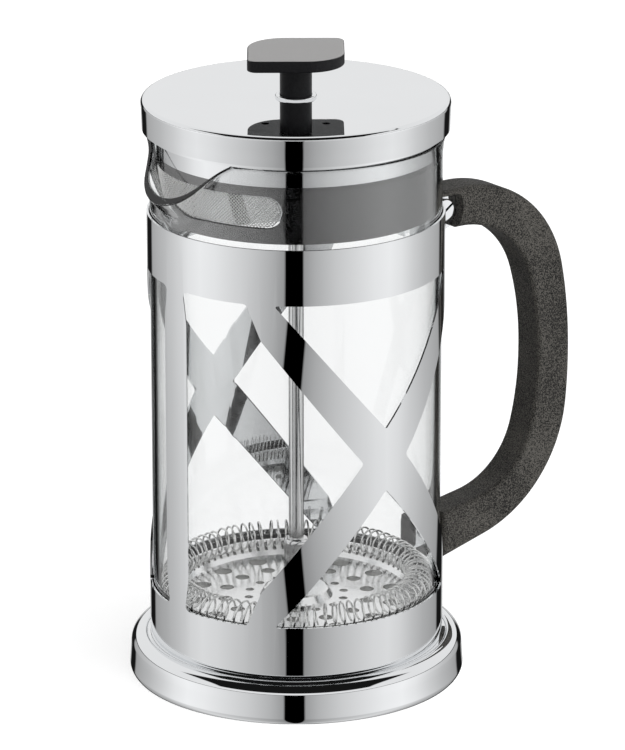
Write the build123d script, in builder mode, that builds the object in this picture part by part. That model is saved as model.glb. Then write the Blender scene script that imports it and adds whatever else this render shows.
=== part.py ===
from build123d import *
import math
import os

os.makedirs("parts", exist_ok=True)

# ---------------------------------------------------------------------------
# French press, one litre.  Millimetres, +Z up, origin on the axis of the pot at
# the plane it stands on.  +X points to the handle, -X to the spout.
# Bearings on the cage are degrees round from the spout, on either side alike.
# ---------------------------------------------------------------------------

# glass beaker
GLASS_R = 48.0
GLASS_WALL = 2.0
GLASS_BASE_Z = 16.0
GLASS_FLOOR_Z = 18.6
GLASS_TOP_Z = 186.2
GLASS_CORNER_R = 6.5
RIM_FLARE = 1.0
RIM_FLARE_Z = 178.7
SPOUT_FOOT_Z = 160.4
SPOUT_FOOT_R = 6.5
SPOUT_FOOT_TIP_X = -46.8
SPOUT_HEAD_Z = 190.0
SPOUT_HEAD_R = 21.0
SPOUT_HEAD_TIP_X = -72.0
LIP_START_X = -42.3
LIP_TIP_X = -56.2
LIP_TIP_Z = 171.0
SPOUT_BLEND_R = 8.0
RIM_EDGE_R = 0.5

# sheet-metal cage
CAGE_R = 49.0
SHEET = 0.7
CAGE_FOOT_Z = 6.5
CAGE_TOP_Z = 160.0
BAND_UPPER_Z = 141.5
BAND_LOWER_Z = 31.4
CAGE_MID_Z = (BAND_UPPER_Z + BAND_LOWER_Z) / 2
STRUT_FLARE = 11.0
CROSS_HALF_GAP = 10.5
CROSS_KINK_Z = 43.0
WINDOW_CORNER_R = 1.8
TRIANGLE_CORNER_R = 0.5

# clamp ears and bolt under the handle's upper end
EAR_GAP = 3.0
EAR_R = 7.0
CLAMP_X = 59.7
CLAMP_Z = 149.5
BOLT_HEAD_R = 3.9
BOLT_HEAD_T = 1.5
BOLT_R = 2.0
BOLT_SLOT_W = 0.9
BOLT_SLOT_D = 0.6

# base
BASE_R = 56.0
BASE_BOTTOM_Z = 0.4
BASE_WALL_Z = 9.8
BASE_CREST_R = 51.6
BASE_CREST_Z = 13.7
BASE_GROOVE_Z = 12.9
BASE_SHEET = 1.6
FOOT_R = 53.9
FOOT_T = 2.4
FOOT_WALL_R = 47.6
FOOT_WALL_T = 3.0
CUSHION_T = 2.6
CUSHION_IN_R = 30.0

# handle
HANDLE_W = 12.6
HANDLE_EDGE_R = 1.6
HANDLE_STRAIGHT = 2.3
ARM_X = 54.0
ARM_TOP_Z = 157.1
ARM_UNDER_Z = 143.5
SCALLOP_X = 55.2
SCALLOP_Z = 150.3
SCALLOP_R = 10.0
ARM_SKIN = 1.8
TENON_W = 8.0
TENON_LOW_Z = 33.3
TENON_HIGH_Z = 42.1
PIN_X = 53.5
PIN_Z = 37.7
PIN_R = 1.6
BRACKET_END_X = 57.1
SADDLE_LOW_Z = 17.0
LOWER_END_X = 58.2

# lid
LID_R = 50.6
LID_SKIRT_R = 50.3
LID_TOP_Z = 197.8
LID_SKIRT_Z = 187.9
LID_SHEET = 0.6
LID_EDGE_R = 1.3
COLLAR_R = 45.6
COLLAR_WALL = 1.5
COLLAR_LOW_Z = 161.3
TRIM_LOW_Z = 180.2
TRIM_T = 0.7
TRIM_SHOULDER_R = 48.5
TRIM_SHOULDER_Z = 186.6
TRIM_SHOULDER_T = 1.6
COLLAR_WEB_Z = 190.4
COLLAR_WEB_T = 1.8
COLLAR_FLANGE_R = 49.1
STRAINER_LOW_Z = 166.2
STRAINER_HIGH_Z = 177.0
STRAINER_HALF_DEG = 48.0
STRAINER_SHEET = 0.3

# plunger
ROD_R = 2.5
ROD_LOW_Z = 21.0
ROD_HIGH_Z = 207.0
BUSH_BORE_R = 2.57
BUSH_R = 4.2
BUSH_RING_R = 6.8
BUSH_LOW_Z = 188.6
KNOB_SIDE = 31.6
KNOB_T = 3.8
KNOB_TOP_Z = 213.5
KNOB_TURN = -36.4
KNOB_TIGHT_R = 3.2
KNOB_WIDE_R = 12.5
KNOB_MARKS = 20.0
STEM_R = 5.25
STEM_LOW_Z = 198.1
SLEEVE_R = 4.25
SLEEVE_TOP_Z = 45.8
PLATE_Z = 25.4
PLATE_T = 0.8
PLATE_FLAT_R = 38.3
PLATE_EDGE_R = 41.6
PLATE_EDGE_Z = 29.8
PLATE_LIP = 1.0
COIL_SLOT_R = 40.7
COIL_SLOT_L = 2.6
COIL_SLOT_W = 1.1
PEDESTAL_H = 2.8
HOLE_ROWS = 14
COIL_TURNS = 84
COIL_R = 40.9
COIL_Z = 32.3
COIL_TURN_R = 4.45
COIL_WIRE_R = 0.35
MESH_R = 45.2
MESH_FLAT_R = 39.0
CROSS_R = 33.0


def finish(part, name):
    part.label = name
    export_step(part, "parts/" + name + ".step")


def ring_sketch(outer, inner):
    Circle(outer)
    Circle(inner, mode=Mode.SUBTRACT)


def bearing_plane(bearing):
    """Upright plane through the axis; its normal leaves at the bearing from the spout."""
    a = math.radians(bearing)
    along = (math.sin(a), -math.cos(a), 0)
    normal = (-math.cos(a), -math.sin(a), 0)
    return Plane(origin=(0, 0, 0), x_dir=along, z_dir=normal)


def sheet_point(bearing, z, centre):
    """Place on a bearing plane of a point of the rolled sheet."""
    return (CAGE_R * math.sin(math.radians(bearing - centre)), z)


def sheet_outline(corners, centre):
    """Outline through corners of the rolled sheet; edges are straight on the flat sheet."""
    count = len(corners)
    for i in range(count):
        b0, z0 = corners[i]
        b1, z1 = corners[(i + 1) % count]
        start = sheet_point(b0, z0, centre)
        end = sheet_point(b1, z1, centre)
        middle = sheet_point((b0 + b1) / 2, (z0 + z1) / 2, centre)
        if b0 == b1 or z0 == z1:
            Line(start, end)
        else:
            ThreePointArc(start, middle, end)


# --- cage ------------------------------------------------------------------

KINK_LOW = CAGE_MID_Z - CROSS_KINK_Z
KINK_HIGH = CAGE_MID_Z + CROSS_KINK_Z

# window beside the spout strut, its point at the crossing
SPOUT_WINDOW = [
    (5, BAND_UPPER_Z),
    (7, BAND_UPPER_Z - STRUT_FLARE),
    (7, BAND_LOWER_Z + STRUT_FLARE),
    (5, BAND_LOWER_Z),
    (34.2, BAND_LOWER_Z),
    (40, KINK_LOW),
    (80, CAGE_MID_Z),
    (40, KINK_HIGH),
    (34.2, BAND_UPPER_Z),
]
# triangles over and under the crossing
UPPER_TRIANGLE = [(45, BAND_UPPER_Z), (90, CAGE_MID_Z + CROSS_HALF_GAP), (135, BAND_UPPER_Z)]
LOWER_TRIANGLE = [(45, BAND_LOWER_Z), (135, BAND_LOWER_Z), (90, CAGE_MID_Z - CROSS_HALF_GAP)]
# half of the wide window behind the handle
HANDLE_WINDOW = [
    (100, CAGE_MID_Z),
    (140, KINK_LOW),
    (145.8, BAND_LOWER_Z),
    (183, BAND_LOWER_Z),
    (183, BAND_UPPER_Z),
    (145.8, BAND_UPPER_Z),
    (140, KINK_HIGH),
]
WINDOWS = [
    (SPOUT_WINDOW, 42.5, WINDOW_CORNER_R),
    (UPPER_TRIANGLE, 90, TRIANGLE_CORNER_R),
    (LOWER_TRIANGLE, 90, TRIANGLE_CORNER_R),
    (HANDLE_WINDOW, 140, WINDOW_CORNER_R),
]

with BuildPart() as cage:
    with BuildSketch(Plane.XY.offset(CAGE_FOOT_Z)):
        ring_sketch(CAGE_R, CAGE_R - SHEET)
    extrude(amount=CAGE_TOP_Z - CAGE_FOOT_Z)
    for corners, centre, corner_r in WINDOWS:
        for side in (1, -1):
            turned = [(side * b, z) for b, z in corners]
            with BuildSketch(bearing_plane(side * centre)) as window:
                with BuildLine():
                    sheet_outline(turned, side * centre)
                make_face()
                fillet(window.vertices(), corner_r)
            extrude(amount=CAGE_R + 5, mode=Mode.SUBTRACT)
    # the band is split behind the handle and its ends are bent out into two ears
    with BuildSketch(Plane.YZ.offset(CAGE_R - 4)):
        with Locations((0, (BAND_UPPER_Z + CAGE_TOP_Z) / 2)):
            Rectangle(EAR_GAP, CAGE_TOP_Z - BAND_UPPER_Z + 2)
    extrude(amount=8, mode=Mode.SUBTRACT)
    for side in (1, -1):
        with BuildSketch(Plane.XZ.offset(-side * (EAR_GAP / 2 + SHEET / 2))):
            with Locations((CLAMP_X, CLAMP_Z)):
                Circle(EAR_R)
            with Locations(((CAGE_R + CLAMP_X) / 2 - SHEET / 2, CLAMP_Z)):
                Rectangle(CLAMP_X - CAGE_R + SHEET, 2 * EAR_R)
            with Locations((CLAMP_X, CLAMP_Z)):
                Circle(BOLT_R + 0.15, mode=Mode.SUBTRACT)
        extrude(amount=SHEET / 2, both=True)
finish(cage.part, "cage")

# --- base ------------------------------------------------------------------

with BuildPart() as base_ring:
    with BuildSketch(Plane.XZ):
        with BuildLine():
            foot_in = (BASE_R - BASE_SHEET, BASE_BOTTOM_Z)
            foot_out = (BASE_R - 0.7, BASE_BOTTOM_Z)
            wall_low = (BASE_R, BASE_BOTTOM_Z + 2.2)
            wall_high = (BASE_R - 0.5, BASE_WALL_Z)
            crest = (BASE_CREST_R, BASE_CREST_Z)
            groove = (BASE_CREST_R - 1.6, BASE_GROOVE_Z)
            under_cage = (CAGE_R, BASE_WALL_Z)
            under_mid = (BASE_R - 3.4, BASE_WALL_Z - 0.8)
            under_wall = (BASE_R - BASE_SHEET, BASE_WALL_Z - 2.6)
            Line(foot_in, foot_out)
            RadiusArc(foot_out, wall_low, -2.6)
            Line(wall_low, wall_high)
            shoulder = TangentArc(wall_high, crest, tangent=(-0.07, 1))
            TangentArc(crest, groove, tangent=shoulder % 1)
            Line(groove, (CAGE_R, BASE_GROOVE_Z))
            Line((CAGE_R, BASE_GROOVE_Z), under_cage)
            Line(under_cage, under_mid)
            Line(under_mid, under_wall)
            Line(under_wall, foot_in)
        make_face()
    revolve(axis=Axis.Z)
finish(base_ring.part, "base_ring")

FOOT_WALL_TOP_Z = GLASS_BASE_Z - CUSHION_T
with BuildPart() as foot_pad:
    with BuildSketch():
        Circle(FOOT_R)
    extrude(amount=FOOT_T)
    with BuildSketch(Plane.XY.offset(FOOT_T)):
        ring_sketch(FOOT_WALL_R, FOOT_WALL_R - FOOT_WALL_T)
    extrude(amount=FOOT_WALL_TOP_Z - FOOT_T)
    with BuildSketch(Plane.XY.offset(FOOT_T)):
        ring_sketch(CUSHION_IN_R + 5, CUSHION_IN_R + 2.5)
        with PolarLocations((CUSHION_IN_R + FOOT_WALL_R) / 2, 12):
            Rectangle(FOOT_WALL_R - CUSHION_IN_R - 5, 2)
    extrude(amount=FOOT_WALL_TOP_Z - FOOT_T)
    with BuildSketch(Plane.XY.offset(FOOT_T)):
        with PolarLocations((CUSHION_IN_R + 8) / 2, 6):
            Rectangle(CUSHION_IN_R, 2)
        Circle(7)
    extrude(amount=5)
    fillet(foot_pad.faces().sort_by(Axis.Z)[0].outer_wire().edges(), 0.8)
finish(foot_pad.part, "foot_pad")

with BuildPart() as glass_cushion:
    with BuildSketch(Plane.XY.offset(FOOT_WALL_TOP_Z)):
        ring_sketch(FOOT_WALL_R, CUSHION_IN_R)
    extrude(amount=CUSHION_T)
    fillet(glass_cushion.faces().sort_by(Axis.Z)[-1].edges(), 0.6)
finish(glass_cushion.part, "glass_cushion")

# --- handle ----------------------------------------------------------------

with BuildPart() as handle:
    with BuildSketch(Plane.XZ.offset(-HANDLE_W / 2)):
        with BuildLine():
            top = Line((ARM_X, ARM_TOP_Z), (ARM_X + 12.5, ARM_TOP_Z))
            out1 = JernArc(start=top @ 1, tangent=(1, 0), radius=43.6, arc_size=-78)
            out2 = JernArc(start=out1 @ 1, tangent=out1 % 1, radius=151, arc_size=-12)
            out_side = PolarLine(start=out2 @ 1, length=HANDLE_STRAIGHT, direction=out2 % 1)
            out3 = JernArc(start=out_side @ 1, tangent=out2 % 1, radius=151, arc_size=-6.2)
            out4 = JernArc(start=out3 @ 1, tangent=out3 % 1, radius=47.6, arc_size=-69.4)
            out5 = PolarLine(start=out4 @ 1, length=18.3, direction=out4 % 1)
            under = Line((ARM_X, ARM_UNDER_Z), (ARM_X + 10.6, ARM_UNDER_Z))
            in1 = JernArc(start=under @ 1, tangent=(1, 0), radius=31.5, arc_size=-72.7)
            in2 = JernArc(start=in1 @ 1, tangent=in1 % 1, radius=95, arc_size=-17.3)
            in_side = PolarLine(start=in2 @ 1, length=HANDLE_STRAIGHT, direction=in2 % 1)
            in3 = JernArc(start=in_side @ 1, tangent=in2 % 1, radius=95, arc_size=-15.2)
            in4 = JernArc(start=in3 @ 1, tangent=in3 % 1, radius=28.1, arc_size=-65.5)
            in5 = PolarLine(start=in4 @ 1, length=15.1, direction=in4 % 1)
            Line(out5 @ 1, in5 @ 1)
            Line(top @ 0, under @ 0)
        make_face()
    extrude(amount=HANDLE_W)
    flats = handle.faces().filter_by(Axis.Y)
    fillet(flats.edges(), HANDLE_EDGE_R)
    # scalloped pockets for the ears on both sides of a thin tongue, under a skin of the arm
    for side in (1, -1):
        face_y = EAR_GAP / 2 + SHEET + 0.15
        with BuildSketch(Plane.XZ.offset(-side * face_y)):
            with Locations((SCALLOP_X, SCALLOP_Z)):
                Circle(SCALLOP_R)
            with Locations((SCALLOP_X, ARM_TOP_Z - ARM_SKIN + 10)):
                Rectangle(40, 20, mode=Mode.SUBTRACT)
        extrude(amount=-side * HANDLE_W, mode=Mode.SUBTRACT)
        with BuildSketch(Plane.XZ.offset(-side * (EAR_GAP / 2 - 0.05))):
            with Locations((CLAMP_X, CLAMP_Z)):
                Circle(EAR_R + 0.4)
            with Locations((CLAMP_X - 6, CLAMP_Z)):
                Rectangle(12, 2 * EAR_R + 0.8)
        extrude(amount=-side * (SHEET + 0.25), mode=Mode.SUBTRACT)
    with BuildSketch(Plane.XZ):
        with Locations((CLAMP_X, CLAMP_Z)):
            Circle(BOLT_R + 0.1)
    extrude(amount=HANDLE_W, both=True, mode=Mode.SUBTRACT)
    # tenon at the lower end, held in the bracket on the cage
    with BuildSketch(Plane.XZ):
        with Locations(((CAGE_R + 0.6 + LOWER_END_X + 4) / 2, (TENON_LOW_Z + TENON_HIGH_Z) / 2)):
            Rectangle(LOWER_END_X + 4 - CAGE_R - 0.6, TENON_HIGH_Z - TENON_LOW_Z)
    extrude(amount=TENON_W / 2, both=True)
    with BuildSketch(Plane.XZ):
        with Locations((PIN_X, PIN_Z)):
            Circle(PIN_R + 0.05)
    extrude(amount=TENON_W, both=True, mode=Mode.SUBTRACT)
finish(handle.part, "handle")

# --- clamp bolt and nut ----------------------------------------------------

EAR_FACE_Y = EAR_GAP / 2 + SHEET
with BuildPart() as clamp_bolt:
    with BuildSketch(Plane.XZ.offset(EAR_FACE_Y)):
        with Locations((CLAMP_X, CLAMP_Z)):
            Circle(BOLT_HEAD_R)
    extrude(amount=BOLT_HEAD_T)
    fillet(clamp_bolt.faces().sort_by(Axis.Y)[0].edges(), 0.6)
    with BuildSketch(Plane.XZ.offset(EAR_FACE_Y + BOLT_HEAD_T)):
        with Locations(Location((CLAMP_X, CLAMP_Z, 0), (0, 0, 35))):
            Rectangle(3 * BOLT_HEAD_R, BOLT_SLOT_W)
    extrude(amount=-BOLT_SLOT_D, mode=Mode.SUBTRACT)
    with BuildSketch(Plane.XZ.offset(EAR_FACE_Y)):
        with Locations((CLAMP_X, CLAMP_Z)):
            Circle(BOLT_R)
    extrude(amount=-(2 * EAR_FACE_Y + 3.2))
finish(clamp_bolt.part, "clamp_bolt")

with BuildPart() as clamp_nut:
    with BuildSketch(Plane.XZ.offset(-EAR_FACE_Y)):
        with Locations((CLAMP_X, CLAMP_Z)):
            RegularPolygon(BOLT_HEAD_R, 6)
            Circle(BOLT_R, mode=Mode.SUBTRACT)
    extrude(amount=-2.6)
finish(clamp_nut.part, "clamp_nut")

# --- lower bracket and its screw -------------------------------------------

BRACKET_T = 0.9
BRACKET_HIGH_Z = TENON_HIGH_Z - 1.9
BRACKET_LOW_Z = TENON_LOW_Z - BRACKET_T
with BuildPart() as lower_bracket:
    with BuildSketch(Plane.YZ.offset(CAGE_R + 1.0)):
        with Locations((0, (BRACKET_LOW_Z + BRACKET_HIGH_Z) / 2)):
            Rectangle(TENON_W + 2 * BRACKET_T, BRACKET_HIGH_Z - BRACKET_LOW_Z)
        with Locations((0, (TENON_LOW_Z + BRACKET_HIGH_Z) / 2 + 1)):
            Rectangle(TENON_W, BRACKET_HIGH_Z - TENON_LOW_Z + 2, mode=Mode.SUBTRACT)
    extrude(amount=BRACKET_END_X - CAGE_R - 1.0)
    # saddle that follows the lower band and joins the channel above it
    with BuildSketch(Plane.YZ.offset(CAGE_R - 3)):
        with Locations((0, (SADDLE_LOW_Z + TENON_LOW_Z) / 2)):
            Rectangle(TENON_W + 2 * BRACKET_T, TENON_LOW_Z - SADDLE_LOW_Z)
    extrude(amount=5.5)
    with BuildSketch(Plane.XY.offset(10)):
        Circle(CAGE_R)
    extrude(amount=40, mode=Mode.SUBTRACT)
    with BuildSketch(Plane.XY.offset(10)):
        ring_sketch(CAGE_R + 20, CAGE_R + 1.1)
    extrude(amount=BRACKET_LOW_Z - 10, mode=Mode.SUBTRACT)
    with BuildSketch(Plane.XZ):
        with Locations((PIN_X, PIN_Z)):
            Circle(PIN_R + 0.05)
    extrude(amount=TENON_W, both=True, mode=Mode.SUBTRACT)
finish(lower_bracket.part, "lower_bracket")

CHEEK_Y = TENON_W / 2 + BRACKET_T
with BuildPart() as bracket_screw:
    with BuildSketch(Plane.XZ.offset(CHEEK_Y)):
        with Locations((PIN_X, PIN_Z)):
            Circle(PIN_R + 0.8)
    extrude(amount=0.9)
    fillet(bracket_screw.faces().sort_by(Axis.Y)[0].edges(), 0.5)
    with BuildSketch(Plane.XZ.offset(CHEEK_Y)):
        with Locations((PIN_X, PIN_Z)):
            Circle(PIN_R)
    extrude(amount=-(2 * CHEEK_Y + 0.6))
finish(bracket_screw.part, "bracket_screw")

# --- glass beaker ----------------------------------------------------------


def beaker_outline(wall, bottom_z):
    """Half section of the beaker's round body, drawn in by the wall."""
    radius = GLASS_R - wall
    corner = GLASS_CORNER_R - wall
    Line((0, bottom_z), (radius - corner, bottom_z))
    RadiusArc((radius - corner, bottom_z), (radius, bottom_z + corner), -corner)
    Line((radius, bottom_z + corner), (radius, RIM_FLARE_Z))
    Spline(
        (radius, RIM_FLARE_Z),
        (radius + RIM_FLARE, GLASS_TOP_Z),
        tangents=[(0, 1), (0.25, 1)],
    )
    Line((radius + RIM_FLARE, GLASS_TOP_Z), (0, GLASS_TOP_Z))
    Line((0, GLASS_TOP_Z), (0, bottom_z))


LIP_SLOPE = (GLASS_TOP_Z - LIP_TIP_Z) / (LIP_START_X - LIP_TIP_X)
LIP_REACH = 45.0
beaker_forms = []
for wall, bottom_z in ((GLASS_WALL, GLASS_FLOOR_Z), (0, GLASS_BASE_Z)):
    with BuildPart() as form:
        with BuildSketch(Plane.XZ):
            with BuildLine():
                beaker_outline(wall, bottom_z)
            make_face()
        revolve(axis=Axis.Z)
        with BuildSketch(Plane.XY.offset(SPOUT_FOOT_Z)):
            with Locations((SPOUT_FOOT_TIP_X + SPOUT_FOOT_R + 1.3 * wall, 0)):
                Circle(SPOUT_FOOT_R - 0.5 * wall)
        with BuildSketch(Plane.XY.offset(SPOUT_HEAD_Z)):
            with Locations((SPOUT_HEAD_TIP_X + SPOUT_HEAD_R + 1.3 * wall, 0)):
                Circle(SPOUT_HEAD_R - 0.8 * wall)
        loft()
        roots = []
        for edge in form.edges().filter_by(GeomType.BSPLINE):
            if edge.bounding_box().size.Z > 5:
                roots.append(edge)
        fillet(roots, SPOUT_BLEND_R + wall)
    beaker_forms.append(form.part)

with BuildPart() as glass_beaker:
    add(beaker_forms[1])
    add(beaker_forms[0], mode=Mode.SUBTRACT)
    # everything over the level rim and over the sloping lip of the spout comes off
    with BuildSketch(Plane.XZ.offset(-80)):
        with BuildLine():
            Polyline(
                (60, GLASS_TOP_Z),
                (LIP_START_X, GLASS_TOP_Z),
                (LIP_START_X - LIP_REACH, GLASS_TOP_Z - LIP_REACH * LIP_SLOPE),
                (LIP_START_X - LIP_REACH, GLASS_TOP_Z + 20),
                (60, GLASS_TOP_Z + 20),
                (60, GLASS_TOP_Z),
            )
        make_face()
    extrude(amount=160, mode=Mode.SUBTRACT)
    rim = glass_beaker.faces().filter_by(GeomType.PLANE).sort_by(Axis.Z)[2:]
    edges = [edge for face in rim for edge in face.edges()]
    edges = [edge for edge in edges if edge.length > 20]
    fillet(edges, RIM_EDGE_R)
finish(glass_beaker.part, "glass_beaker")

# --- lid -------------------------------------------------------------------

with BuildPart() as lid_cover:
    with BuildSketch(Plane.XZ):
        with BuildLine():
            c1 = (LID_R - LID_EDGE_R, LID_TOP_Z)
            c2 = (LID_R, LID_TOP_Z - LID_EDGE_R)
            inner_r = LID_R - LID_SHEET
            Line((BUSH_R, LID_TOP_Z), c1)
            RadiusArc(c1, c2, LID_EDGE_R)
            Line(c2, (LID_SKIRT_R, LID_SKIRT_Z))
            Line((LID_SKIRT_R, LID_SKIRT_Z), (LID_SKIRT_R - LID_SHEET, LID_SKIRT_Z))
            Line((LID_SKIRT_R - LID_SHEET, LID_SKIRT_Z), (inner_r, LID_TOP_Z - LID_EDGE_R))
            RadiusArc(
                (inner_r, LID_TOP_Z - LID_EDGE_R),
                (LID_R - LID_EDGE_R, LID_TOP_Z - LID_SHEET),
                -(LID_EDGE_R - LID_SHEET),
            )
            Line((LID_R - LID_EDGE_R, LID_TOP_Z - LID_SHEET), (BUSH_R, LID_TOP_Z - LID_SHEET))
            Line((BUSH_R, LID_TOP_Z - LID_SHEET), (BUSH_R, LID_TOP_Z))
        make_face()
    revolve(axis=Axis.Z)
finish(lid_cover.part, "lid_cover")

BUSH_SEAT_Z = STEM_LOW_Z - 0.2
with BuildPart() as rod_bush:
    with BuildSketch(Plane.XY.offset(LID_TOP_Z)):
        ring_sketch(BUSH_RING_R, BUSH_BORE_R)
    extrude(amount=0.9)
    fillet(rod_bush.faces().sort_by(Axis.Z)[-1].outer_wire().edges(), 0.5)
    with BuildSketch(Plane.XY.offset(BUSH_SEAT_Z)):
        Circle(STEM_R + 0.3)
    extrude(amount=5, mode=Mode.SUBTRACT)
    with BuildSketch(Plane.XY.offset(BUSH_LOW_Z)):
        ring_sketch(BUSH_R, BUSH_BORE_R)
    extrude(amount=LID_TOP_Z - BUSH_LOW_Z)
finish(rod_bush.part, "rod_bush")

with BuildPart() as bush_nut:
    with BuildSketch(Plane.XY.offset(LID_TOP_Z - LID_SHEET)):
        RegularPolygon(7.5, 6)
        Circle(BUSH_R, mode=Mode.SUBTRACT)
    extrude(amount=-3.2)
finish(bush_nut.part, "bush_nut")

# --- collar and strainer inside the lid ------------------------------------

SLOT_R = (STRAINER_HIGH_Z - STRAINER_LOW_Z) / 2
SLOT_Z = (STRAINER_HIGH_Z + STRAINER_LOW_Z) / 2
SLOT_END_DEG = STRAINER_HALF_DEG - math.degrees(SLOT_R / COLLAR_R)


with BuildPart() as slot_cutter:
    with BuildSketch(Plane.XZ):
        with Locations((-(COLLAR_R - COLLAR_WALL / 2), SLOT_Z)):
            Rectangle(COLLAR_WALL + 4, 2 * SLOT_R)
    revolve(axis=Axis.Z, revolution_arc=SLOT_END_DEG)
    mirror(about=Plane.XZ)
    for side in (1, -1):
        with BuildSketch(bearing_plane(side * SLOT_END_DEG).offset(COLLAR_R - COLLAR_WALL - 1.5)):
            with Locations((0, SLOT_Z)):
                Circle(SLOT_R)
        extrude(amount=COLLAR_WALL + 3)

with BuildPart() as slot_seat:
    with BuildSketch(Plane.XZ):
        with Locations((-(COLLAR_R - COLLAR_WALL / 2), SLOT_Z)):
            Rectangle(STRAINER_SHEET, 2 * SLOT_R + 2)
    revolve(axis=Axis.Z, revolution_arc=SLOT_END_DEG + 8)
    mirror(about=Plane.XZ)

with BuildPart() as lid_collar:
    with BuildSketch(Plane.XY.offset(COLLAR_LOW_Z)):
        ring_sketch(COLLAR_R, COLLAR_R - COLLAR_WALL)
    extrude(amount=TRIM_LOW_Z - COLLAR_LOW_Z)
    with BuildSketch(Plane.XY.offset(TRIM_LOW_Z)):
        ring_sketch(COLLAR_R - TRIM_T, COLLAR_R - COLLAR_WALL)
    extrude(amount=COLLAR_WEB_Z - TRIM_LOW_Z)
    with BuildSketch(Plane.XY.offset(COLLAR_WEB_Z)):
        ring_sketch(COLLAR_FLANGE_R, BUSH_R + 0.5)
    extrude(amount=COLLAR_WEB_T)
    with BuildSketch(Plane.XY.offset(COLLAR_WEB_Z + COLLAR_WEB_T)):
        ring_sketch(COLLAR_FLANGE_R - 1.5, COLLAR_FLANGE_R - 3.0)
        with PolarLocations(26, 8):
            Rectangle(36, 1.4)
    extrude(amount=3.2)
    add(slot_cutter.part, mode=Mode.SUBTRACT)
    add(slot_seat.part, mode=Mode.SUBTRACT)
finish(lid_collar.part, "lid_collar")
finish(slot_seat.part, "lid_strainer")

# bright ring round the top of the collar, with the shoulder that rests on the beaker's rim
with BuildPart() as collar_trim:
    with BuildSketch(Plane.XY.offset(TRIM_LOW_Z)):
        ring_sketch(COLLAR_R, COLLAR_R - TRIM_T)
    extrude(amount=COLLAR_WEB_Z - TRIM_LOW_Z)
    with BuildSketch(Plane.XY.offset(TRIM_SHOULDER_Z)):
        ring_sketch(TRIM_SHOULDER_R, COLLAR_R - TRIM_T)
    extrude(amount=TRIM_SHOULDER_T)
finish(collar_trim.part, "collar_trim")

# --- plunger ---------------------------------------------------------------

with BuildPart() as plunger_rod:
    with BuildSketch(Plane.XY.offset(ROD_LOW_Z)):
        Circle(ROD_R)
    extrude(amount=ROD_HIGH_Z - ROD_LOW_Z)
    chamfer(plunger_rod.edges(), 0.4)
finish(plunger_rod.part, "plunger_rod")

INSERT_R = 3.7
INSERT_LOW_Z = STEM_LOW_Z + 0.8
INSERT_HIGH_Z = ROD_HIGH_Z + 1.0
KNOB_PLANE = Plane(origin=(0, 0, 0), x_dir=(1, 0, 0), z_dir=(0, 0, 1)).rotated((0, 0, KNOB_TURN))
with BuildPart() as knob:
    with BuildSketch(KNOB_PLANE.offset(KNOB_TOP_Z - KNOB_T)) as leaf:
        Rectangle(KNOB_SIDE, KNOB_SIDE)
        corners = leaf.vertices()
        tight = [v for v in corners if v.X * v.Y > 0]
        fillet(tight, KNOB_TIGHT_R)
        half = KNOB_SIDE / 2
        wide = [v for v in leaf.vertices() if abs(abs(v.X) - half) < 0.01 and abs(abs(v.Y) - half) < 0.01]
        fillet(wide, KNOB_WIDE_R)
    extrude(amount=KNOB_T)
    fillet(knob.faces().sort_by(Axis.Z)[-1].edges(), 0.6)
    fillet(knob.faces().sort_by(Axis.Z)[0].edges(), 0.5)
    with BuildSketch(KNOB_PLANE.offset(STEM_LOW_Z)):
        Circle(STEM_R)
    extrude(amount=KNOB_TOP_Z - KNOB_T - STEM_LOW_Z)
    with BuildSketch(KNOB_PLANE.offset(KNOB_TOP_Z - KNOB_T)):
        with GridLocations(KNOB_MARKS, KNOB_MARKS, 2, 2):
            Circle(1.3)
    extrude(amount=0.8, mode=Mode.SUBTRACT)
    with BuildSketch(KNOB_PLANE.offset(STEM_LOW_Z)):
        Circle(ROD_R + 0.3)
    extrude(amount=INSERT_LOW_Z - STEM_LOW_Z, mode=Mode.SUBTRACT)
    with BuildSketch(KNOB_PLANE.offset(INSERT_LOW_Z)):
        Circle(INSERT_R)
    extrude(amount=INSERT_HIGH_Z - INSERT_LOW_Z, mode=Mode.SUBTRACT)
finish(knob.part, "knob")

with BuildPart() as knob_insert:
    with BuildSketch(Plane.XY.offset(INSERT_LOW_Z)):
        Circle(INSERT_R)
    extrude(amount=INSERT_HIGH_Z - INSERT_LOW_Z)
    with BuildSketch(Plane.XY.offset(INSERT_LOW_Z)):
        Circle(ROD_R)
    extrude(amount=ROD_HIGH_Z - INSERT_LOW_Z, mode=Mode.SUBTRACT)
finish(knob_insert.part, "knob_insert")

PEDESTAL_Z = PLATE_Z + PEDESTAL_H
with BuildPart() as rod_sleeve:
    with BuildSketch(Plane.XY.offset(PEDESTAL_Z)):
        ring_sketch(SLEEVE_R, ROD_R)
    extrude(amount=SLEEVE_TOP_Z - PEDESTAL_Z)
    fillet(rod_sleeve.faces().sort_by(Axis.Z)[-1].outer_wire().edges(), 1.5)
finish(rod_sleeve.part, "rod_sleeve")

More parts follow.
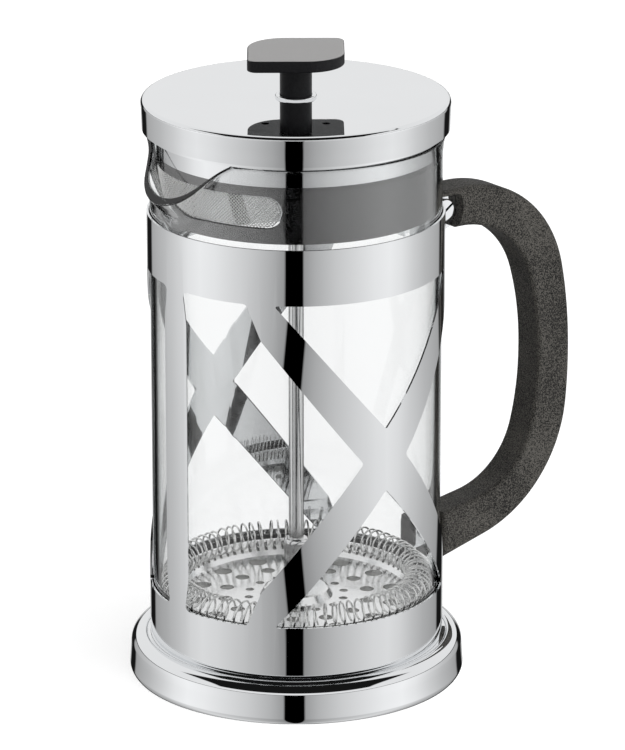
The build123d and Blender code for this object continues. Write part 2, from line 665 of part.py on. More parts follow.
with BuildPart() as spiral_plate:
    with BuildSketch(Plane.XZ):
        with BuildLine():
            Polyline(
                (ROD_R, PEDESTAL_Z),
                (10.0, PEDESTAL_Z),
                (10.8, PEDESTAL_Z - 0.4),
                (12.2, PLATE_Z),
                (PLATE_FLAT_R, PLATE_Z),
                (PLATE_EDGE_R, PLATE_EDGE_Z),
                (PLATE_EDGE_R + PLATE_LIP, PLATE_EDGE_Z),
                (PLATE_EDGE_R + PLATE_LIP, PLATE_EDGE_Z - PLATE_T),
                (PLATE_EDGE_R + 0.4, PLATE_EDGE_Z - PLATE_T),
                (PLATE_FLAT_R + 0.6, PLATE_Z - PLATE_T),
                (11.6, PLATE_Z - PLATE_T),
                (10.0, PEDESTAL_Z - PLATE_T),
                (ROD_R, PEDESTAL_Z - PLATE_T),
                (ROD_R, PEDESTAL_Z),
            )
        make_face()
    revolve(axis=Axis.Z)
    with BuildSketch(Plane.XY.offset(PLATE_Z - 4)):
        for radius, hole in ((16.2, 1.45), (24.2, 2.4), (32.9, 3.0)):
            with PolarLocations(radius, HOLE_ROWS):
                Circle(hole)
        with PolarLocations(COIL_SLOT_R, COIL_TURNS):
            Rectangle(COIL_SLOT_L, COIL_SLOT_W)
    extrude(amount=14, mode=Mode.SUBTRACT)
finish(spiral_plate.part, "spiral_plate")

with BuildPart() as spiral_coil:
    with PolarLocations(COIL_R, COIL_TURNS):
        with Locations(Location((0, 0, COIL_Z), (90, 0, 0))):
            Torus(COIL_TURN_R, COIL_WIRE_R)
finish(spiral_coil.part, "spiral_coil")

MESH_TOP_Z = PLATE_Z - PLATE_T
MESH_T = 0.4
with BuildPart() as mesh_filter:
    with BuildSketch(Plane.XZ):
        with BuildLine():
            Polyline(
                (ROD_R, MESH_TOP_Z),
                (MESH_FLAT_R, MESH_TOP_Z),
                (MESH_R - 2.2, MESH_TOP_Z + 1.6),
                (MESH_R - MESH_T, MESH_TOP_Z + 4.2),
                (MESH_R, MESH_TOP_Z + 4.0),
                (MESH_R - 1.8, MESH_TOP_Z + 1.2),
                (MESH_FLAT_R + 0.1, MESH_TOP_Z - MESH_T),
                (ROD_R, MESH_TOP_Z - MESH_T),
                (ROD_R, MESH_TOP_Z),
            )
        make_face()
    revolve(axis=Axis.Z)
finish(mesh_filter.part, "mesh_filter")

CROSS_TOP_Z = MESH_TOP_Z - MESH_T
with BuildPart() as cross_plate:
    with BuildSketch(Plane.XY.offset(CROSS_TOP_Z)):
        ring_sketch(CROSS_R, CROSS_R - 3.5)
        with PolarLocations(CROSS_R / 2, 4):
            Rectangle(CROSS_R - 3, 7)
        Circle(9)
    extrude(amount=-1.2)
    with BuildSketch(Plane.XY.offset(CROSS_TOP_Z)):
        Circle(6)
    extrude(amount=-(CROSS_TOP_Z - GLASS_FLOOR_Z - 0.4))
    with BuildSketch(Plane.XY.offset(CROSS_TOP_Z)):
        Circle(ROD_R)
    extrude(amount=-(CROSS_TOP_Z - ROD_LOW_Z), mode=Mode.SUBTRACT)
finish(cross_plate.part, "cross_plate")
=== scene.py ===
"""French press: the CAD's own pieces with procedural finishes, on white paper in a white studio.

The coil spring, the strainer's cloth and the base ring are made here as fine meshes in the place
of their CAD nodes. The studio is the world's light alone, placed by direction.
"""

import math
import random

import bpy
from mathutils import Matrix, Vector


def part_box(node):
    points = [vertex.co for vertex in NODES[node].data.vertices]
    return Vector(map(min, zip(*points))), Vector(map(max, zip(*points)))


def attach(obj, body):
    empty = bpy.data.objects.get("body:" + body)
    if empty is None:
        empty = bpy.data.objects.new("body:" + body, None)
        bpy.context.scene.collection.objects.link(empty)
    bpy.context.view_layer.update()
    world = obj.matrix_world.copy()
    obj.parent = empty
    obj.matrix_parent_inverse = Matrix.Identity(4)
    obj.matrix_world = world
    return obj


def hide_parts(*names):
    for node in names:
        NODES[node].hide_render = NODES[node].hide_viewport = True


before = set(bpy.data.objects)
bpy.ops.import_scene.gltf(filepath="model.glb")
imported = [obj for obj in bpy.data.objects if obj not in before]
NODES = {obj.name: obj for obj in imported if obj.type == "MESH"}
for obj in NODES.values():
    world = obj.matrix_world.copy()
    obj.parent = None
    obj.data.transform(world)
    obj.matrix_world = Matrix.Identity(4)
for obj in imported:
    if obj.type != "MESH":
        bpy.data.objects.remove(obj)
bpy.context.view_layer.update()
SCENE = bpy.context.scene
MM = 0.001


# ---------------------------------------------------------------------------
# camera: a long lens from far off, looking down at the press
# ---------------------------------------------------------------------------

CAMERA_AZIMUTH = -36.5
CAMERA_DISTANCE = 1.5824
CAMERA_HEIGHT = 0.6242
CAMERA_AIM_HEIGHT = 0.1024
CAMERA_AIM_RIGHT = 0.0054
CAMERA_SIDE_STEP = -0.0027
CAMERA_LENS = 241.6
SENSOR = 36.0
CLIP_NEAR = 0.05
CLIP_FAR = 40.0


def view_axes():
    """Level unit vectors to the camera's right and away from the camera."""
    a = math.radians(CAMERA_AZIMUTH)
    right = Vector((math.cos(a), math.sin(a), 0.0))
    away = Vector((-math.sin(a), math.cos(a), 0.0))
    return right, away


def make_camera():
    right, away = view_axes()
    place = right * CAMERA_SIDE_STEP - away * CAMERA_DISTANCE
    place.z = CAMERA_HEIGHT
    aim = right * CAMERA_AIM_RIGHT
    aim.z = CAMERA_AIM_HEIGHT
    data = bpy.data.cameras.new("camera")
    data.lens = CAMERA_LENS
    data.sensor_width = SENSOR
    data.clip_start = CLIP_NEAR
    data.clip_end = CLIP_FAR
    camera = bpy.data.objects.new("camera", data)
    SCENE.collection.objects.link(camera)
    camera.location = place
    camera.rotation_mode = "QUATERNION"
    camera.rotation_quaternion = (aim - place).to_track_quat("-Z", "Y")
    SCENE.camera = camera


# ---------------------------------------------------------------------------
# shader nodes shared by the studio and the materials
# ---------------------------------------------------------------------------


def feed(tree, socket, value):
    """Give a socket a plain number, or link it to another node's output."""
    if isinstance(value, (int, float)):
        socket.default_value = value
    else:
        tree.links.new(value, socket)


def math_node(tree, operation, a, b=None):
    node = tree.nodes.new("ShaderNodeMath")
    node.operation = operation
    feed(tree, node.inputs[0], a)
    if b is not None:
        feed(tree, node.inputs[1], b)
    return node.outputs[0]


def map_range(tree, value, low, high, to_low=0.0, to_high=1.0):
    """A smooth step from to_low at low to to_high at high."""
    node = tree.nodes.new("ShaderNodeMapRange")
    node.interpolation_type = "SMOOTHSTEP"
    tree.links.new(value, node.inputs["Value"])
    node.inputs["From Min"].default_value = low
    node.inputs["From Max"].default_value = high
    node.inputs["To Min"].default_value = to_low
    node.inputs["To Max"].default_value = to_high
    return node.outputs["Result"]


def mix_value(tree, factor, a, b):
    node = tree.nodes.new("ShaderNodeMix")
    node.data_type = "FLOAT"
    factor_socket, _, a_socket, b_socket = node.inputs[:4]
    feed(tree, factor_socket, factor)
    feed(tree, a_socket, a)
    feed(tree, b_socket, b)
    return node.outputs[0]


def color_ramp(tree, value, stops):
    node = tree.nodes.new("ShaderNodeValToRGB")
    ramp = node.color_ramp
    while len(ramp.elements) < len(stops):
        ramp.elements.new(1.0)
    for element, (place, color) in zip(ramp.elements, stops):
        element.position = place
        element.color = (*color, 1.0)
    tree.links.new(value, node.inputs["Fac"])
    return node.outputs["Color"]


def grey_ramp(tree, value, stops):
    return color_ramp(tree, value, [(place, (level, level, level)) for place, level in stops])


def dot_with(tree, vector, axis):
    node = tree.nodes.new("ShaderNodeVectorMath")
    node.operation = "DOT_PRODUCT"
    tree.links.new(vector, node.inputs[0])
    node.inputs[1].default_value = axis
    return node.outputs["Value"]


def stretched(tree, vector, scale):
    node = tree.nodes.new("ShaderNodeVectorMath")
    node.operation = "MULTIPLY"
    tree.links.new(vector, node.inputs[0])
    node.inputs[1].default_value = scale
    return node.outputs[0]


def noise(tree, vector, per_metre, detail=2.0, rough=0.5):
    node = tree.nodes.new("ShaderNodeTexNoise")
    tree.links.new(vector, node.inputs["Vector"])
    node.inputs["Scale"].default_value = per_metre
    node.inputs["Detail"].default_value = detail
    node.inputs["Roughness"].default_value = rough
    return node.outputs["Fac"]


def bump(tree, bsdf, height, distance, strength):
    node = tree.nodes.new("ShaderNodeBump")
    node.inputs["Strength"].default_value = strength
    node.inputs["Distance"].default_value = distance
    tree.links.new(height, node.inputs["Height"])
    tree.links.new(node.outputs[0], bsdf.inputs["Normal"])


# ---------------------------------------------------------------------------
# studio: white surroundings, with soft panels and dark gaps for what is polished
# ---------------------------------------------------------------------------

# Brightness of the surroundings by bearing, as (degrees from the front, level).
PANEL_STOPS = [
    (0.0, 0.0),
    (6.4, 0.0),
    (7.4, 0.38),
    (16.0, 0.52),
    (32.0, 0.70),
    (48.0, 0.84),
    (64.0, 0.98),
    (78.0, 1.04),
    (90.0, 0.95),
    (104.0, 0.76),
    (120.0, 0.60),
    (136.0, 0.50),
    (145.0, 0.44),
    (148.5, 0.01),
    (163.0, 0.01),
    (168.0, 0.62),
    (180.0, 0.85),
]
HALF_TURN = 180.0
SKY_LEVEL = 0.88
SURROUND_LEVEL = 1.06
DARK_LEVEL = 0.01
GAP_SHIFT = 1.45

# Heights, widths and depths are parts of the unit vector that points to that part of the studio.
PANEL_TOP = 0.10
PANEL_TOP_BLUR = 0.02
GAP_DARK = 0.012
GAP_END = 0.03
FLOOR_SHADE_LOW = -0.40
FLOOR_SHADE_HIGH = -0.24
FLOOR_SHADE = 0.76
CARD_FOOT = 0.42
CARD_HALF_WIDTH = 0.72
CARD_BLUR = 0.05
CARD_BACK_START = -0.10
CARD_BACK_END = -0.22

FILL_RIGHT = 0.75
FILL_NEAR = 0.66
FILL_UP = 0.12
FILL_FAR_EDGE = -0.30
FILL_NEAR_EDGE = 0.95
FILL_LOW = 0.06
FILL_HIGH = 2.10
LIGHT_TINT = (0.998, 1.0, 1.003, 1.0)

FLOOR_HALF = 6.0
FLOOR_GREY = (0.55, 0.55, 0.55)
FLOOR_ROUGHNESS = 0.9
FLOOR_GLOW = 0.75


def ray_depth_mask(tree, output_name):
    """1 for rays that have been through a bounce of that kind, else 0."""
    path = tree.nodes.new("ShaderNodeLightPath")
    return math_node(tree, "GREATER_THAN", path.outputs[output_name], 0.5)


def side_panels(tree, across, front, height):
    """Panels round the press up to PANEL_TOP, sky over them, and a thin dark gap between."""
    bearing = math_node(tree, "ABSOLUTE", math_node(tree, "ARCTAN2", across, front))
    share = math_node(tree, "DIVIDE", bearing, math.pi)
    low = grey_ramp(tree, share, [(d / HALF_TURN, level) for d, level in PANEL_STOPS])
    above = map_range(tree, height, PANEL_TOP - PANEL_TOP_BLUR, PANEL_TOP + PANEL_TOP_BLUR)
    level = mix_value(tree, above, low, SKY_LEVEL)
    shade = map_range(tree, height, FLOOR_SHADE_LOW, FLOOR_SHADE_HIGH, FLOOR_SHADE, 1.0)
    level = math_node(tree, "MULTIPLY", level, shade)
    from_gap = math_node(tree, "ABSOLUTE", math_node(tree, "SUBTRACT", height, PANEL_TOP))
    return math_node(tree, "MULTIPLY", level, map_range(tree, from_gap, GAP_DARK, GAP_END))


def outside_card(tree, across, front, height):
    """0 on the dark card high over the front, 1 beside, behind and below it and through the glass."""
    width = math_node(tree, "ABSOLUTE", across)
    beside = map_range(tree, width, CARD_HALF_WIDTH, CARD_HALF_WIDTH + CARD_BLUR)
    behind = map_range(tree, front, CARD_BACK_START, CARD_BACK_END)
    below = map_range(tree, height, CARD_FOOT, CARD_FOOT - CARD_BLUR)
    through_glass = ray_depth_mask(tree, "Transmission Depth")
    outside = math_node(tree, "MAXIMUM", math_node(tree, "MAXIMUM", beside, behind), below)
    return math_node(tree, "MAXIMUM", outside, through_glass)


def panel_level(tree, coord):
    """What polished metal sees: the side panels, dimmed where the dark card is."""
    right, away = view_axes()
    turn = Matrix.Rotation(math.radians(-GAP_SHIFT), 3, "Z")
    across = dot_with(tree, coord, turn @ right)
    front = dot_with(tree, coord, turn @ -away)
    height = dot_with(tree, coord, (0.0, 0.0, 1.0))
    level = side_panels(tree, across, front, height)
    outside = outside_card(tree, across, front, height)
    return math_node(tree, "MULTIPLY", level, map_range(tree, outside, 0.0, 1.0, DARK_LEVEL, 1.0))


def fill_level(tree, coord):
    """Soft light for what is not polished, strongest from the near right."""
    right, away = view_axes()
    toward = (right * FILL_RIGHT - away * FILL_NEAR + Vector((0.0, 0.0, FILL_UP))).normalized()
    facing = dot_with(tree, coord, toward)
    return map_range(tree, facing, FILL_FAR_EDGE, FILL_NEAR_EDGE, FILL_LOW, FILL_HIGH)


def make_world():
    world = bpy.data.worlds.new("studio")
    SCENE.world = world
    world.use_nodes = True
    world.cycles.sampling_method = "NONE"
    tree = world.node_tree
    tree.nodes.clear()
    output = tree.nodes.new("ShaderNodeOutputWorld")
    coord = tree.nodes.new("ShaderNodeTexCoord").outputs["Generated"]
    glossy = ray_depth_mask(tree, "Glossy Depth")
    polished = mix_value(tree, glossy, SURROUND_LEVEL, panel_level(tree, coord))
    diffuse = ray_depth_mask(tree, "Diffuse Depth")
    level = mix_value(tree, diffuse, polished, fill_level(tree, coord))
    light = tree.nodes.new("ShaderNodeBackground")
    light.inputs["Color"].default_value = LIGHT_TINT
    tree.links.new(level, light.inputs["Strength"])
    tree.links.new(light.outputs[0], output.inputs["Surface"])


# ---------------------------------------------------------------------------
# materials
# ---------------------------------------------------------------------------

CHROME = (0.845, 0.855, 0.865)
CHROME_HAZE = 0.012
HANDLE_DARK = (0.001, 0.001, 0.001)
HANDLE_LIGHT = (0.078, 0.073, 0.064)
KNOB_DARK = (0.006, 0.006, 0.007)
KNOB_LIGHT = (0.011, 0.011, 0.012)
# grey of the painted sheen on the knob's top
KNOB_PAINTED_SHEEN = (0.40, 0.394, 0.39)
# glass colour by how edge on it is seen: its green tint, then painted shade near black at the very edge
GLASS_TINT_AND_SHADE_STOPS = [
    (0.0, (0.962, 0.965, 0.965)),
    (0.72, (0.93, 0.938, 0.937)),
    (0.90, (0.60, 0.66, 0.655)),
    (1.0, (0.10, 0.13, 0.13)),
]
GLASS_IOR = 1.47
FILTER_PITCH = 0.55 * MM
WAVE_BAND = 0.31416
EVEN_GRAIN = (1.0, 1.0, 1.0)
ROD_GRAIN = (1.0, 1.0, 0.02)
INSERT_GRAIN = (1.0, 1.0, 0.1)


def new_material(name, color, roughness, **sockets):
    """A principled material; a socket's name is given with underscores for its spaces."""
    mat = bpy.data.materials.new(name)
    mat.use_nodes = True
    bsdf = mat.node_tree.nodes["Principled BSDF"]
    bsdf.inputs["Base Color"].default_value = (*color, 1.0)
    bsdf.inputs["Roughness"].default_value = roughness
    for socket, value in sockets.items():
        bsdf.inputs[socket.replace("_", " ")].default_value = value
    return mat, mat.node_tree, bsdf


def place_coord(tree):
    return tree.nodes.new("ShaderNodeTexCoord").outputs["Object"]


def scaled(color, share):
    return tuple(c * share for c in color)


def chrome_material(name):
    """Polished plate over pressed sheet: faint waves in the metal and a breath of haze."""
    mat, tree, bsdf = new_material(name, CHROME, CHROME_HAZE, Metallic=1.0)
    where = place_coord(tree)
    smear = noise(tree, where, 90.0, 4.0, 0.6)
    haze = map_range(tree, smear, 0.35, 0.75, CHROME_HAZE * 0.6, CHROME_HAZE * 1.8)
    tree.links.new(haze, bsdf.inputs["Roughness"])
    tint = color_ramp(tree, noise(tree, where, 35.0, 3.0), [(0.3, CHROME), (0.7, scaled(CHROME, 0.985))])
    tree.links.new(tint, bsdf.inputs["Base Color"])
    bump(tree, bsdf, noise(tree, where, 45.0, 1.0), 0.1 * MM, 0.08)
    return mat


def steel_material(name, color, rough, grain_scale, along):
    """Drawn or stamped metal with a fine grain, drawn out where along is below 1."""
    mat, tree, bsdf = new_material(name, color, rough, Metallic=1.0)
    where = stretched(tree, place_coord(tree), along)
    grain = noise(tree, where, grain_scale, 3.0, 0.65)
    tree.links.new(map_range(tree, grain, 0.25, 0.8, rough * 0.6, rough * 1.7), bsdf.inputs["Roughness"])
    tint = color_ramp(tree, grain, [(0.3, scaled(color, 0.93)), (0.6, color)])
    tree.links.new(tint, bsdf.inputs["Base Color"])
    bump(tree, bsdf, grain, 0.02 * MM, 0.25)
    return mat


def grained_plastic(name, dark, light, rough, per_metre=1900.0, depth=0.12 * MM):
    """Moulded plastic with a spark-eroded grain."""
    mat, tree, bsdf = new_material(name, dark, rough)
    where = place_coord(tree)
    grain = noise(tree, where, per_metre, 2.0, 0.7)
    broad = noise(tree, where, 60.0, 2.0)
    fine_part = math_node(tree, "MULTIPLY", grain, 0.85)
    speck = math_node(tree, "ADD", fine_part, math_node(tree, "MULTIPLY", broad, 0.15))
    tree.links.new(color_ramp(tree, speck, [(0.43, dark), (0.59, light)]), bsdf.inputs["Base Color"])
    tree.links.new(map_range(tree, grain, 0.3, 0.7, rough * 1.15, rough * 0.85), bsdf.inputs["Roughness"])
    bump(tree, bsdf, grain, depth, 0.6)
    return mat


def handle_material(name):
    mat = grained_plastic(name, HANDLE_DARK, HANDLE_LIGHT, 0.6, 2600.0, 0.4 * MM)
    mat.node_tree.nodes["Principled BSDF"].inputs["Specular IOR Level"].default_value = 0.25
    return mat


def mix_color(tree, factor, under, color):
    """The colour under, turned to a plain colour where factor is 1."""
    node = tree.nodes.new("ShaderNodeMix")
    node.data_type = "RGBA"
    tree.links.new(factor, node.inputs["Factor"])
    under_socket, color_socket = [s for s in node.inputs if s.type == "RGBA"]
    tree.links.new(under, under_socket)
    color_socket.default_value = (*color, 1.0)
    return [s for s in node.outputs if s.type == "RGBA"][0]


def painted_low_angle_sheen(tree, bsdf, color):
    """Painted sheen: faces that point up are painted grey in their base colour when seen at a low angle,
    so that they look as in the photo.
    """
    under = bsdf.inputs["Base Color"].links[0].from_socket
    split = tree.nodes.new("ShaderNodeSeparateXYZ")
    tree.links.new(tree.nodes.new("ShaderNodeTexCoord").outputs["Normal"], split.inputs[0])
    weight = tree.nodes.new("ShaderNodeLayerWeight")
    weight.inputs["Blend"].default_value = 0.5
    low = map_range(tree, weight.outputs["Facing"], 0.30, 0.75)
    factor = math_node(tree, "MULTIPLY", low, map_range(tree, split.outputs["Z"], 0.6, 0.98))
    tree.links.new(mix_color(tree, factor, under, color), bsdf.inputs["Base Color"])


def knob_material(name):
    mat = grained_plastic(name, KNOB_DARK, KNOB_LIGHT, 0.38, 2600.0, 0.06 * MM)
    tree = mat.node_tree
    bsdf = tree.nodes["Principled BSDF"]
    bsdf.inputs["Specular IOR Level"].default_value = 0.12
    # the knob's top gets a painted sheen in its base colour
    painted_low_angle_sheen(tree, bsdf, KNOB_PAINTED_SHEEN)
    return mat


def glass_material(name):
    """Clear glass whose colour darkens where it is seen edge on, partly its own green tint through the
    thickness and partly painted shade, with a faint ripple.
    """
    mat, tree, bsdf = new_material(name, (1, 1, 1), 0.0, Transmission_Weight=1.0)
    bsdf.inputs["IOR"].default_value = GLASS_IOR
    edge = tree.nodes.new("ShaderNodeLayerWeight")
    edge.inputs["Blend"].default_value = 0.5
    tree.links.new(color_ramp(tree, edge.outputs["Facing"], GLASS_TINT_AND_SHADE_STOPS), bsdf.inputs["Base Color"])
    bump(tree, bsdf, noise(tree, place_coord(tree), 28.0, 1.0), 0.2 * MM, 0.05)
    return mat


def woven_material(name, color, pitch):
    """Fine woven wire cloth seen as a whole: crossing wires, with painted shade for the holes between
    them.
    """
    mat, tree, bsdf = new_material(name, color, 0.32, Metallic=1.0)
    where = place_coord(tree)
    waves = []
    for direction in ("X", "Y"):
        node = tree.nodes.new("ShaderNodeTexWave")
        node.bands_direction = direction
        node.inputs["Scale"].default_value = WAVE_BAND / pitch
        tree.links.new(where, node.inputs["Vector"])
        waves.append(node.outputs["Fac"])
    cloth = math_node(tree, "MAXIMUM", waves[0], waves[1])
    # the holes between the wires are painted near black as painted shade
    tint = color_ramp(tree, cloth, [(0.25, scaled(color, 0.05)), (0.6, color)])
    tree.links.new(tint, bsdf.inputs["Base Color"])
    bump(tree, bsdf, cloth, 0.2 * MM, 0.8)
    return mat


def rubber_material(name):
    mat, tree, bsdf = new_material(name, (0.03, 0.03, 0.03), 0.75)
    dust = noise(tree, place_coord(tree), 400.0, 4.0)
    tint = color_ramp(tree, dust, [(0.3, (0.02, 0.02, 0.02)), (0.8, (0.055, 0.054, 0.052))])
    tree.links.new(tint, bsdf.inputs["Base Color"])
    bump(tree, bsdf, dust, 0.1 * MM, 0.3)
    return mat


def collar_material(name):
    """Semi-gloss black moulding with faint flow marks round the wall."""
    coat = {"Coat_Weight": 1.0, "Coat_Roughness": 0.05, "Coat_IOR": 2.0}
    mat, tree, bsdf = new_material(name, (0.012, 0.012, 0.013), 0.12, **coat)
    bsdf.inputs["Specular IOR Level"].default_value = 0.9
    flow = noise(tree, stretched(tree, place_coord(tree), (1.0, 1.0, 5.0)), 60.0, 3.0)
    tree.links.new(map_range(tree, flow, 0.3, 0.7, 0.09, 0.16), bsdf.inputs["Roughness"])
    tint = color_ramp(tree, flow, [(0.3, (0.010, 0.010, 0.011)), (0.8, (0.018, 0.018, 0.019))])
    tree.links.new(tint, bsdf.inputs["Base Color"])
    bump(tree, bsdf, flow, 0.03 * MM, 0.2)
    return mat


def dress(mat, *nodes):
    """Give CAD nodes a material."""
    for node in nodes:
        for slot in NODES[node].material_slots:
            slot.material = mat


def dress_chrome(chrome):
    dress(chrome, "cage", "lid_cover", "clamp_bolt", "clamp_nut")
    dress(chrome, "lower_bracket", "bracket_screw", "rod_bush", "collar_trim")


def dress_mouldings():
    dress(handle_material("handle_plastic"), "handle")
    dress(knob_material("knob_plastic"), "knob")
    dress(grained_plastic("nut_plastic", (0.03, 0.03, 0.03), (0.06, 0.06, 0.06), 0.5), "bush_nut")
    foot = grained_plastic("foot_plastic", (0.025, 0.025, 0.026), (0.055, 0.055, 0.055), 0.6)
    dress(foot, "foot_pad")
    dress(rubber_material("cushion_rubber"), "glass_cushion")
    dress(glass_material("clear_glass"), "glass_beaker")
    dress(collar_material("collar_plastic"), "lid_collar")


def dress_plunger():
    dress(steel_material("rod_steel", (0.80, 0.80, 0.80), 0.10, 900.0, ROD_GRAIN), "plunger_rod")
    dress(steel_material("sleeve_steel", (0.82, 0.82, 0.82), 0.08, 700.0, EVEN_GRAIN), "rod_sleeve")
    dress(steel_material("insert_brass", (0.72, 0.53, 0.25), 0.25, 900.0, INSERT_GRAIN), "knob_insert")
    dress(steel_material("plate_steel", (0.97, 0.97, 0.97), 0.15, 120.0, EVEN_GRAIN), "spiral_plate")
    dress(steel_material("cross_steel", (0.75, 0.75, 0.75), 0.18, 500.0, EVEN_GRAIN), "cross_plate")
    dress(woven_material("filter_cloth", (0.62, 0.62, 0.60), FILTER_PITCH), "mesh_filter")


# ---------------------------------------------------------------------------
# pieces made here
# ---------------------------------------------------------------------------


def new_object(name, verts, faces, mat):
    mesh = bpy.data.meshes.new(name)
    mesh.from_pydata(verts, [], faces)
    mesh.materials.append(mat)
    mesh.update()
    piece = bpy.data.objects.new(name, mesh)
    SCENE.collection.objects.link(piece)
    return piece


def stand_for(piece, node, body):
    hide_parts(node)
    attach(piece, body)


def make_floor():
    """White paper with a light of its own, so that it fades into the white behind it."""
    mat, _, bsdf = new_material("floor_paper", FLOOR_GREY, FLOOR_ROUGHNESS)
    bsdf.inputs["Specular IOR Level"].default_value = 0.0
    bsdf.inputs["Emission Color"].default_value = (1.0, 1.0, 1.0, 1.0)
    bsdf.inputs["Emission Strength"].default_value = FLOOR_GLOW
    size = FLOOR_HALF
    corners = [(-size, -size, 0), (size, -size, 0), (size, size, 0), (-size, size, 0)]
    floor = new_object("floor", corners, [(0, 1, 2, 3)], mat)
    floor.visible_glossy = False
    floor.visible_transmission = False
    floor.visible_diffuse = False


# ---------------------------------------------------------------------------
# wire pieces
# ---------------------------------------------------------------------------


def tube(points, radius, sides, closed):
    """Vertices and faces of a wire along points."""
    verts, faces = [], []
    count = len(points)
    normal = None
    for i, p in enumerate(points):
        ahead = points[(i + 1) % count] if closed or i + 1 < count else p
        behind = points[i - 1] if closed or i > 0 else p
        tangent = (ahead - behind).normalized()
        if normal is None:
            normal = tangent.orthogonal().normalized()
        normal = (normal - tangent * normal.dot(tangent)).normalized()
        side = tangent.cross(normal)
        for k in range(sides):
            a = 2.0 * math.pi * k / sides
            verts.append(p + (normal * math.cos(a) + side * math.sin(a)) * radius)
    rings = count if closed else count - 1
    for i in range(rings):
        j = (i + 1) % count
        for k in range(sides):
            m = (k + 1) % sides
            faces.append((i * sides + k, i * sides + m, j * sides + m, j * sides + k))
    if not closed:
        faces.append(tuple(reversed(range(sides))))
        faces.append(tuple((count - 1) * sides + k for k in range(sides)))
    return verts, faces


def wire_object(name, wires, radius, sides, closed, mat):
    """One object of many wires, smooth along each wire and flat at its ends."""
    verts, faces = [], []
    for points in wires:
        more, quads = tube(points, radius, sides, closed)
        start = len(verts)
        verts += more
        faces += [tuple(start + i for i in quad) for quad in quads]
    piece = new_object(name, verts, faces, mat)
    for polygon in piece.data.polygons:
        polygon.use_smooth = len(polygon.vertices) == 4
    return piece


COIL_TURNS = 84
COIL_STEPS = 26
COIL_WIRE = 0.33 * MM
COIL_SIDES = 8
COIL_SEED = 11
COIL_LEAN = 0.26
COIL_SMALLEST = 0.93


def coil_points(centre, turn, mid_z):
    """Wire of a spring laid in a circle; each turn passes its slot at the bottom and leans at the top."""
    draw = random.Random(COIL_SEED)
    lean = [draw.uniform(-COIL_LEAN, COIL_LEAN) for _ in range(COIL_TURNS)]
    size = [draw.uniform(COIL_SMALLEST, 1.0) for _ in range(COIL_TURNS)]
    points = []
    for i in range(COIL_TURNS * COIL_STEPS):
        whole = i / COIL_STEPS
        k = int(whole)
        part = whole - k
        after = (k + 1) % COIL_TURNS
        blend = part * part * (3 - 2 * part)
        grow = size[k] * (1 - blend) + size[after] * blend
        wind = 2.0 * math.pi * (part - 0.25)
        tip = lean[k] * (0.5 + 0.5 * math.sin(wind)) ** 1.5
        around = 2.0 * math.pi * (whole + tip) / COIL_TURNS
        radius = centre + math.cos(wind) * turn * grow
        z = mid_z + math.sin(wind) * turn * grow
        points.append(Vector((radius * math.cos(around), radius * math.sin(around), z)))
    return points


def make_coil():
    """One coil spring laid in a circle, its turns a little uneven."""
    low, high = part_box("spiral_coil")
    turn = (high.z - low.z) / 2 - COIL_WIRE
    centre = high.x - COIL_WIRE - turn
    points = coil_points(centre, turn, (high.z + low.z) / 2)
    mat = steel_material("coil_steel", (0.90, 0.90, 0.89), 0.16, 1500.0, EVEN_GRAIN)
    piece = wire_object("coil_spring", [points], COIL_WIRE, COIL_SIDES, True, mat)
    stand_for(piece, "spiral_coil", "plunger")


CLOTH_PITCH = 0.78 * MM
CLOTH_WIRE = 0.19 * MM
CLOTH_SIDES = 5
CLOTH_CRIMP = 0.8
CLOTH_STEPS = 3.0
CLOTH_RUN = 40
CLOTH_FEWEST = 4
CLOTH_HALF_DEG = 47.2
CLOTH_LOW_Z = 166.4 * MM
CLOTH_HIGH_Z = 176.8 * MM
SLANT = math.sqrt(2.0)


def cloth_wires(radius):
    """Two families of wires on the slant, over and under one another, inside a round-ended slot."""
    half = radius * math.radians(CLOTH_HALF_DEG)
    mid_z = (CLOTH_HIGH_Z + CLOTH_LOW_Z) / 2
    end = (CLOTH_HIGH_Z - CLOTH_LOW_Z) / 2
    straight = half - end
    reach = int((half + end) * 2 / (CLOTH_PITCH * SLANT)) + 2
    step = CLOTH_PITCH / CLOTH_STEPS
    wires = []
    for family in (1, -1):
        for i in range(-reach, reach + 1):
            start = i * CLOTH_PITCH * SLANT
            run = []
            for j in range(-CLOTH_RUN, CLOTH_RUN + 1):
                t = j * step
                s = start + t / SLANT
                h = family * t / SLANT
                over = max(abs(s) - straight, 0.0)
                if over * over + h * h > end * end:
                    continue
                crossing = math.pi * (j / CLOTH_STEPS + i)
                r = radius + family * math.cos(crossing) * CLOTH_WIRE * CLOTH_CRIMP
                a = math.pi + s / radius
                run.append(Vector((r * math.cos(a), r * math.sin(a), mid_z + h)))
            if len(run) >= CLOTH_FEWEST:
                wires.append(run)
    return wires


def make_strainer():
    low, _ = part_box("lid_strainer")
    radius = -low.x - (1.0 + CLOTH_CRIMP) * CLOTH_WIRE
    mat = steel_material("strainer_steel", (0.95, 0.95, 0.94), 0.34, 1500.0, EVEN_GRAIN)
    piece = wire_object("strainer_cloth", cloth_wires(radius), CLOTH_WIRE, CLOTH_SIDES, False, mat)
    stand_for(piece, "lid_strainer", "strainer")


# ---------------------------------------------------------------------------
# base ring, turned finely so that its rolled edge reflects cleanly
# ---------------------------------------------------------------------------

RING_SIDES = 360
RING_SHARP_DEG = 32.0
RING_EDGE_GAP = 0.03 * MM

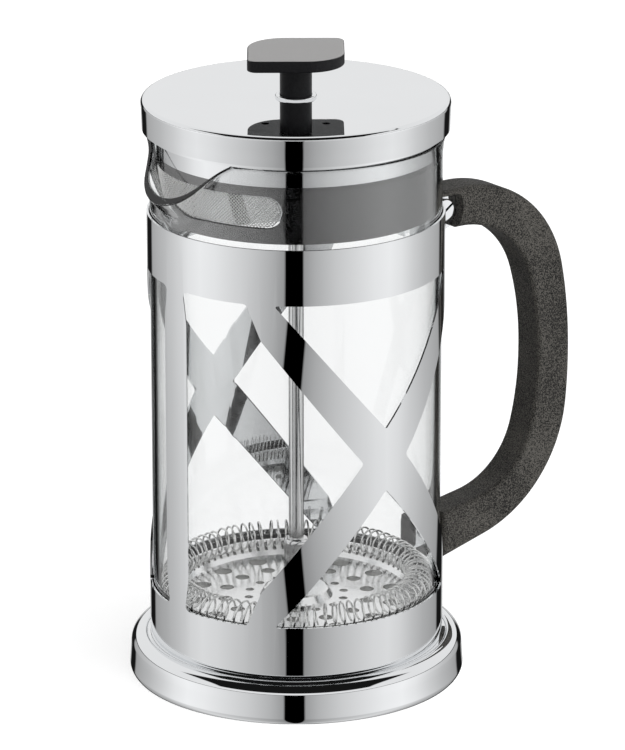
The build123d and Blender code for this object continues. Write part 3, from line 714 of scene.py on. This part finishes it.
# Outline points of its half section, as (millimetres in from the edge, millimetres up).
RING_HEEL = (1.6, 0.0)
RING_TOE = (0.7, 0.0)
RING_WALL_FOOT = (0.0, 2.2)
RING_WALL = [(0.17, 4.6), (0.34, 7.0), (0.5, 9.4)]
RING_BEAD_TOP = (4.4, 13.3)
RING_GROOVE = (6.0, 12.5)
RING_INSIDE = [(6.95, 12.5), (6.95, 9.4), (3.4, 8.6), (1.6, 6.8)]
FOOT_TANGENT = Vector((0.695, 0.719))
SHOULDER_TANGENT = Vector((-0.07, 1.0))
FOOT_POINTS = 8
SHOULDER_POINTS = 18
GROOVE_POINTS = 10


def turned(vector, angle):
    c, s = math.cos(angle), math.sin(angle)
    return Vector((vector.x * c - vector.y * s, vector.x * s + vector.y * c))


def arc_from(start, tangent, end, count):
    """Points of the arc that leaves start along tangent and reaches end, and its tangent there."""
    tangent = tangent.normalized()
    chord = end - start
    normal = Vector((-tangent.y, tangent.x))
    radius = chord.length_squared / (2.0 * normal.dot(chord))
    centre = start + normal * radius
    turn = 2.0 * math.atan2(normal.dot(chord), tangent.dot(chord))
    spoke = start - centre
    points = [centre + turned(spoke, turn * i / count) for i in range(1, count + 1)]
    return points, turned(tangent, turn)


def ring_outline(edge, floor_z):
    """Half section of the base ring: straight wall, rolled shoulder, groove beside the cage."""
    def at(point):
        inward, up = point
        return Vector((edge - inward * MM, floor_z + up * MM))

    foot, _ = arc_from(at(RING_TOE), FOOT_TANGENT, at(RING_WALL_FOOT), FOOT_POINTS)
    wall = [at(point) for point in RING_WALL]
    shoulder, leaving = arc_from(wall[-1], SHOULDER_TANGENT, at(RING_BEAD_TOP), SHOULDER_POINTS)
    groove, _ = arc_from(at(RING_BEAD_TOP), leaving, at(RING_GROOVE), GROOVE_POINTS)
    inside = [at(point) for point in RING_INSIDE]
    return [at(RING_HEEL), at(RING_TOE)] + foot + wall + shoulder + groove + inside


def make_base_ring(mat):
    low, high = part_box("base_ring")
    outline = ring_outline(high.x - RING_EDGE_GAP, low.z)
    count = len(outline)
    verts, faces = [], []
    for i in range(RING_SIDES):
        a = 2.0 * math.pi * i / RING_SIDES
        verts += [(p.x * math.cos(a), p.x * math.sin(a), p.y) for p in outline]
        j = (i + 1) % RING_SIDES
        for k in range(count):
            m = (k + 1) % count
            faces.append((i * count + k, j * count + k, j * count + m, i * count + m))
    piece = new_object("base_ring_turned", verts, faces, mat)
    piece.data.shade_smooth()
    piece.data.set_sharp_from_angle(angle=math.radians(RING_SHARP_DEG))
    stand_for(piece, "base_ring", "frame")


make_camera()
make_world()
make_floor()
chrome_plate = chrome_material("chrome_plate")
make_base_ring(chrome_plate)
dress_chrome(chrome_plate)
dress_mouldings()
dress_plunger()
make_coil()
make_strainer()
SCENE.view_settings.view_transform = "Standard"
